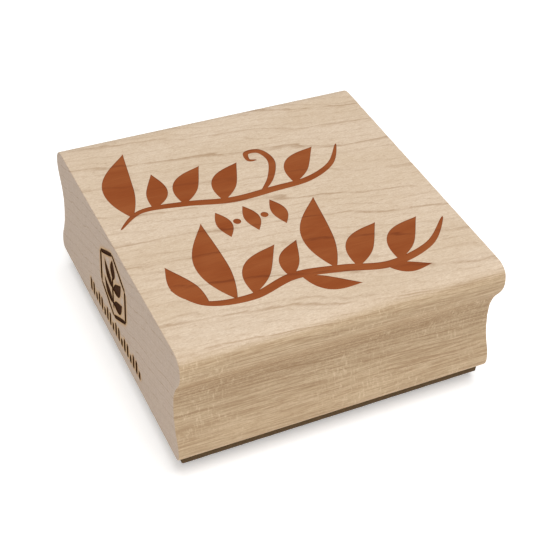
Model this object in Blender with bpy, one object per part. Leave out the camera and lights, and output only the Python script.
"""Wood-mounted rubber stamp: a grooved maple block with a foam cushion and a rubber die glued under it.

Units are metres and +Z is up.  The origin is in the middle of the block's footprint, on the
surface that the die stands on.  The wood grain and the finger grooves run along X, -Y is the front.
"""

import math

import bmesh
import bpy
from mathutils import Vector
from mathutils.geometry import delaunay_2d_cdt

MM = 0.001

# Maple block, cut from a length of moulding.
BLOCK_LENGTH = 50.2 * MM
BLOCK_DEPTH = 51.4 * MM
BLOCK_HEIGHT = 19.7 * MM
INDEX_RECESS = 0.1 * MM

# Finger groove, as half-depths of the block and heights above its underside.
NOSE_HALF = BLOCK_DEPTH / 2
NOSE_HEIGHT = 16.9 * MM
TOP_FLAT_HALF = 22.8 * MM
SHOULDER_HALF = 24.5 * MM
SHOULDER_HEIGHT = 13.9 * MM
WAIST_HALF = 23.4 * MM
WAIST_HEIGHT = 10.0 * MM
ANKLE_HALF = 24.75 * MM
ANKLE_HEIGHT = 4.0 * MM
SOLE_HALF = 24.4 * MM
CURVE_STEPS = 6

# Cushion and die, trimmed together a little smaller than the block and stuck on by hand.
PAD_LENGTH = 48.9 * MM
PAD_DEPTH = 47.4 * MM
PAD_SHIFT = 0.55 * MM
PAD_CORNER_RADIUS = 0.3 * MM
CORNER_STEPS = 3
RELIEF_HEIGHT = 1.4 * MM
DIE_FLOOR = 0.9 * MM
FOAM_THICKNESS = 1.0 * MM
FILM_THICKNESS = 0.1 * MM
FILM_INSET = 0.3 * MM
GLUE_GAP = 0.1 * MM

# Heights of the layers above the printing surface.
DIE_BACK = RELIEF_HEIGHT + DIE_FLOOR
DIE_FILM_LOW = DIE_BACK + GLUE_GAP
FOAM_LOW = DIE_FILM_LOW + FILM_THICKNESS + GLUE_GAP
FOAM_HIGH = FOAM_LOW + FOAM_THICKNESS
MOUNTING_FILM_LOW = FOAM_HIGH + GLUE_GAP
BLOCK_LOW = MOUNTING_FILM_LOW + FILM_THICKNESS + GLUE_GAP
BLOCK_HIGH = BLOCK_LOW + BLOCK_HEIGHT

# Brush shapes of the leafy ornament: how full a stroke stays and where it is widest.
STEM_FULLNESS = 0.45
LEAF_FULLNESS = 1.1
LEAF_LEAN = 0.86
STEM_STEPS = 4
LEAF_STEPS = 6


def clear_scene():
    for old in list(bpy.data.objects):
        bpy.data.objects.remove(old, do_unlink=True)


def make_material(name, colour, roughness):
    material = bpy.data.materials.new(name)
    material.use_nodes = True
    shader = material.node_tree.nodes["Principled BSDF"]
    shader.inputs["Base Color"].default_value = (*colour, 1.0)
    shader.inputs["Roughness"].default_value = roughness
    shader.inputs["Metallic"].default_value = 0.0
    return material


def finish_solid(name, bm, material, smooth_angle=math.radians(35)):
    """Turn a closed bmesh into a named object with its faces pointing out."""
    bmesh.ops.recalc_face_normals(bm, faces=bm.faces)
    mesh = bpy.data.meshes.new(name)
    bm.to_mesh(mesh)
    bm.free()
    mesh.shade_smooth()
    mesh.set_sharp_from_angle(angle=smooth_angle)
    mesh.materials.append(material)
    solid = bpy.data.objects.new(name, mesh)
    bpy.context.scene.collection.objects.link(solid)
    return solid


def bezier(start, start_handle, end_handle, end, steps=CURVE_STEPS):
    """Points of a cubic curve from start up to, but not including, end."""
    points = []
    for k in range(steps):
        t = k / steps
        weights = ((1 - t) ** 3, 3 * t * (1 - t) ** 2, 3 * t * t * (1 - t), t ** 3)
        corners = (start, start_handle, end_handle, end)
        points.append(tuple(sum(w * c[axis] for w, c in zip(weights, corners)) for axis in (0, 1)))
    return points


def groove_profile():
    """Half section of the moulding as (y, z), from the top flat down to the sole."""
    top = bezier((TOP_FLAT_HALF, BLOCK_HEIGHT), (TOP_FLAT_HALF + 1.9 * MM, BLOCK_HEIGHT),
                 (NOSE_HALF, NOSE_HEIGHT + 2.0 * MM), (NOSE_HALF, NOSE_HEIGHT))
    nose = bezier((NOSE_HALF, NOSE_HEIGHT), (NOSE_HALF, NOSE_HEIGHT - 1.1 * MM),
                  (SHOULDER_HALF + 0.65 * MM, SHOULDER_HEIGHT + 1.0 * MM), (SHOULDER_HALF, SHOULDER_HEIGHT))
    cove = bezier((SHOULDER_HALF, SHOULDER_HEIGHT), (SHOULDER_HALF - 0.65 * MM, SHOULDER_HEIGHT - 1.0 * MM),
                  (WAIST_HALF, WAIST_HEIGHT + 1.6 * MM), (WAIST_HALF, WAIST_HEIGHT))
    flare = bezier((WAIST_HALF, WAIST_HEIGHT), (WAIST_HALF, WAIST_HEIGHT - 2.6 * MM),
                   (ANKLE_HALF - 0.75 * MM, ANKLE_HEIGHT + 1.4 * MM), (ANKLE_HALF, ANKLE_HEIGHT))
    foot = bezier((ANKLE_HALF, ANKLE_HEIGHT), (ANKLE_HALF + 0.6 * MM, ANKLE_HEIGHT - 1.0 * MM),
                  (SOLE_HALF + 1.7 * MM, 0.0), (SOLE_HALF, 0.0))
    return top + nose + cove + flare + foot + [(SOLE_HALF, 0.0)]


def smooth_line(points, steps):
    """Catmull-Rom curve through the points."""
    line = []
    padded = [points[0], *points, points[-1]]
    for before, start, end, after in zip(padded, padded[1:], padded[2:], padded[3:]):
        for k in range(steps):
            t = k / steps
            line.append(tuple(
                0.5 * (2 * b + (c - a) * t + (2 * a - 5 * b + 4 * c - d) * t * t
                       + (3 * b - a - 3 * c + d) * t ** 3)
                for a, b, c, d in zip(before, start, end, after)))
    line.append(tuple(points[-1]))
    return line


def brush_stroke(points, widest, fullness, lean=1.0, steps=STEM_STEPS):
    """Outline of a stroke that swells from a pointed start and thins out to a pointed end."""
    line = smooth_line(points, steps)
    travelled = [0.0]
    for a, b in zip(line, line[1:]):
        travelled.append(travelled[-1] + math.dist(a, b))
    left = []
    right = []
    for k in range(1, len(line) - 1):
        share = travelled[k] / travelled[-1]
        half = widest / 2 * math.sin(math.pi * share ** lean) ** fullness
        run_x = line[k + 1][0] - line[k - 1][0]
        run_y = line[k + 1][1] - line[k - 1][1]
        run = math.hypot(run_x, run_y)
        left.append((line[k][0] - run_y / run * half, line[k][1] + run_x / run * half))
        right.append((line[k][0] + run_y / run * half, line[k][1] - run_x / run * half))
    outline = [line[0], *right, line[-1], *reversed(left)]
    return [(x * MM, y * MM) for x, y in outline]


def stem(*points, widest):
    return brush_stroke(points, widest, STEM_FULLNESS)


def leaf(base, tip, widest, bow):
    """Pointed leaf from base to tip; its midrib bows sideways by bow times its length."""
    middle = ((base[0] + tip[0]) / 2 - (tip[1] - base[1]) * bow,
              (base[1] + tip[1]) / 2 + (tip[0] - base[0]) * bow)
    return brush_stroke((base, middle, tip), widest, LEAF_FULLNESS, LEAF_LEAN, LEAF_STEPS)


def dot(centre, radius, sides=8):
    turn = 2 * math.pi / sides
    return [((centre[0] + radius * math.cos(k * turn)) * MM, (centre[1] + radius * math.sin(k * turn)) * MM)
            for k in range(sides)]


def upper_branch():
    return [
        stem((-22.8, 2.6), (-18.6, 5.6), (-12, 5.0), (-5, 3.4), (2, 3.6), (8, 4.0), (13, 6.4), (16.2, 10.8),
             widest=1.3),
        leaf((-20.2, 4.6), (-16.2, 20.0), 4.6, 0.10),
        leaf((-16.6, 5.5), (-14.0, 13.6), 3.2, -0.08),
        leaf((-12.0, 4.9), (-6.4, 13.0), 3.8, 0.09),
        leaf((-6.2, 3.6), (-0.6, 11.8), 3.8, 0.09),
        leaf((5.6, 3.8), (12.2, 11.4), 3.8, 0.10),
        stem((-0.4, 3.2), (2.6, 6.2), (4.6, 10.2), (3.9, 13.2), (1.8, 13.5), (1.4, 11.7), (2.6, 11.3),
             widest=1.1),
    ]


def lower_branch():
    return [
        stem((-21.0, -12.0), (-17.5, -16.3), (-11, -17.4), (-4, -15.6), (3, -16.6), (10, -18.3),
             (17.5, -16.4), (22.6, -11.6), widest=1.5),
        leaf((-17.0, -16.3), (-20.0, -7.4), 3.4, 0.08),
        leaf((-13.2, -17.1), (-11.6, -0.2), 4.6, 0.08),
        leaf((-10.6, -17.0), (-3.6, -8.4), 4.0, 0.09),
        leaf((-4.4, -15.8), (-0.2, -8.6), 2.9, 0.08),
        leaf((2.4, -16.3), (6.6, -0.4), 4.6, 0.08),
        leaf((5.4, -17.2), (12.4, -9.2), 4.0, 0.09),
        leaf((11.6, -18.0), (18.8, -10.2), 4.0, 0.09),
        leaf((-3.0, -15.9), (4.4, -20.4), 2.7, -0.10),
        leaf((9.0, -18.0), (15.6, -20.4), 2.2, -0.09),
    ]


def middle_row():
    """Three seeds with a dot between each two."""
    row_height = -1.6
    seed_half = 3.0
    pitch = 4.4
    seeds = []
    for k in (-2, -1, 0):
        x = 0.2 + k * pitch
        seeds.append(brush_stroke(((x, row_height - seed_half), (x + 0.2, row_height), (x, row_height + seed_half)),
                                  2.3, 1.0, steps=4))
    for k in (-1.5, -0.5):
        seeds.append(dot((0.2 + k * pitch, row_height), 0.6))
    return seeds


def ornament():
    """Outlines of the leafy ornament, seen from above."""
    return upper_branch() + middle_row() + lower_branch()


def stepped_face(bm, border, islands, field_z, island_z):
    """Fill the border at field_z, with the islands' shared area moved to island_z and walls between.

    Returns the border's own vertices, in the border's order.
    """
    flat_points = [Vector(point) for point in border]
    loops = [list(range(len(border)))]
    for island in islands:
        loops.append(list(range(len(flat_points), len(flat_points) + len(island))))
        flat_points.extend(Vector(point) for point in island)
    merge_distance = 1e-6
    points, _, triangles, point_sources, _, face_sources = delaunay_2d_cdt(
        flat_points, [], loops, 1, merge_distance)

    layers = {field_z: {}, island_z: {}}

    def vertex(index, height):
        if index not in layers[height]:
            layers[height][index] = bm.verts.new((*points[index], height))
        return layers[height][index]

    heights_beside = {}
    for triangle, sources in zip(triangles, face_sources):
        height = island_z if any(source > 0 for source in sources) else field_z
        bm.faces.new([vertex(index, height) for index in triangle])
        for a, b in zip(triangle, triangle[1:] + triangle[:1]):
            heights_beside.setdefault(frozenset((a, b)), set()).add(height)
    for edge, heights in heights_beside.items():
        if len(heights) == 2:
            a, b = edge
            bm.faces.new((vertex(a, field_z), vertex(b, field_z), vertex(b, island_z), vertex(a, island_z)))

    border_order = {}
    for index, sources in enumerate(point_sources):
        for source in sources:
            if source < len(border):
                border_order[source] = vertex(index, field_z)
    return [border_order[k] for k in range(len(border))]


def build_wood_mount():
    """Moulding section extruded along X, with the ornament cut a little way into its top flat."""
    bm = bmesh.new()
    half_length = BLOCK_LENGTH / 2
    corners = [(-half_length, -TOP_FLAT_HALF), (half_length, -TOP_FLAT_HALF),
               (half_length, TOP_FLAT_HALF), (-half_length, TOP_FLAT_HALF)]
    top = stepped_face(bm, corners, ornament(), BLOCK_HIGH, BLOCK_HIGH - INDEX_RECESS)
    front_left, front_right, back_right, back_left = top

    side = groove_profile()[1:]

    def end_section(x, front_corner, back_corner):
        front = [bm.verts.new((x, -y, BLOCK_LOW + z)) for y, z in side]
        back = [bm.verts.new((x, y, BLOCK_LOW + z)) for y, z in side]
        return [front_corner, *front, *reversed(back), back_corner]

    left = end_section(-half_length, front_left, back_left)
    right = end_section(half_length, front_right, back_right)
    for k in range(len(left) - 1):
        bm.faces.new((left[k], left[k + 1], right[k + 1], right[k]))
    bm.faces.new(left)
    bm.faces.new(right)
    return finish_solid("wood_mount", bm, make_material("maple", (0.70, 0.53, 0.36), 0.6))


def rounded_rectangle(length, depth, radius):
    """Outline with round corners, counter-clockwise from above, centred on the cushion's place."""
    outline = []
    for quarter in range(4):
        corner_x = (length / 2 - radius) * (1 if quarter in (0, 3) else -1) + PAD_SHIFT
        corner_y = (depth / 2 - radius) * (1 if quarter in (0, 1) else -1)
        for k in range(CORNER_STEPS + 1):
            angle = math.pi / 2 * (quarter + k / CORNER_STEPS)
            outline.append((corner_x + radius * math.cos(angle), corner_y + radius * math.sin(angle)))
    return outline


def build_layer(name, low, thickness, inset, material):
    """A flat sheet with the cushion's outline, drawn in by inset."""
    outline = rounded_rectangle(PAD_LENGTH - 2 * inset, PAD_DEPTH - 2 * inset, PAD_CORNER_RADIUS)
    bm = bmesh.new()
    sheet = bm.faces.new([bm.verts.new((x, y, low)) for x, y in outline])
    raised = bmesh.ops.extrude_face_region(bm, geom=[sheet])
    lifted = [item for item in raised["geom"] if isinstance(item, bmesh.types.BMVert)]
    bmesh.ops.translate(bm, vec=(0.0, 0.0, thickness), verts=lifted)
    return finish_solid(name, bm, material)


def build_rubber_die():
    """A rubber sheet with the ornament standing out of its underside."""
    bm = bmesh.new()
    outline = rounded_rectangle(PAD_LENGTH, PAD_DEPTH, PAD_CORNER_RADIUS)
    floor = stepped_face(bm, outline, ornament(), RELIEF_HEIGHT, 0.0)
    back = [bm.verts.new((x, y, DIE_BACK)) for x, y in outline]
    for k in range(len(outline)):
        after = (k + 1) % len(outline)
        bm.faces.new((floor[k], floor[after], back[after], back[k]))
    bm.faces.new(back)
    return finish_solid("rubber_die", bm, make_material("rubber", (0.13, 0.10, 0.08), 0.75))


def main():
    clear_scene()
    glue = make_material("adhesive", (0.62, 0.58, 0.48), 0.45)
    foam = make_material("foam", (0.16, 0.14, 0.12), 0.9)
    build_wood_mount()
    build_layer("mounting_film", MOUNTING_FILM_LOW, FILM_THICKNESS, FILM_INSET, glue)
    build_layer("foam_cushion", FOAM_LOW, FOAM_THICKNESS, 0.0, foam)
    build_layer("die_film", DIE_FILM_LOW, FILM_THICKNESS, FILM_INSET, glue)
    build_rubber_die()


main()
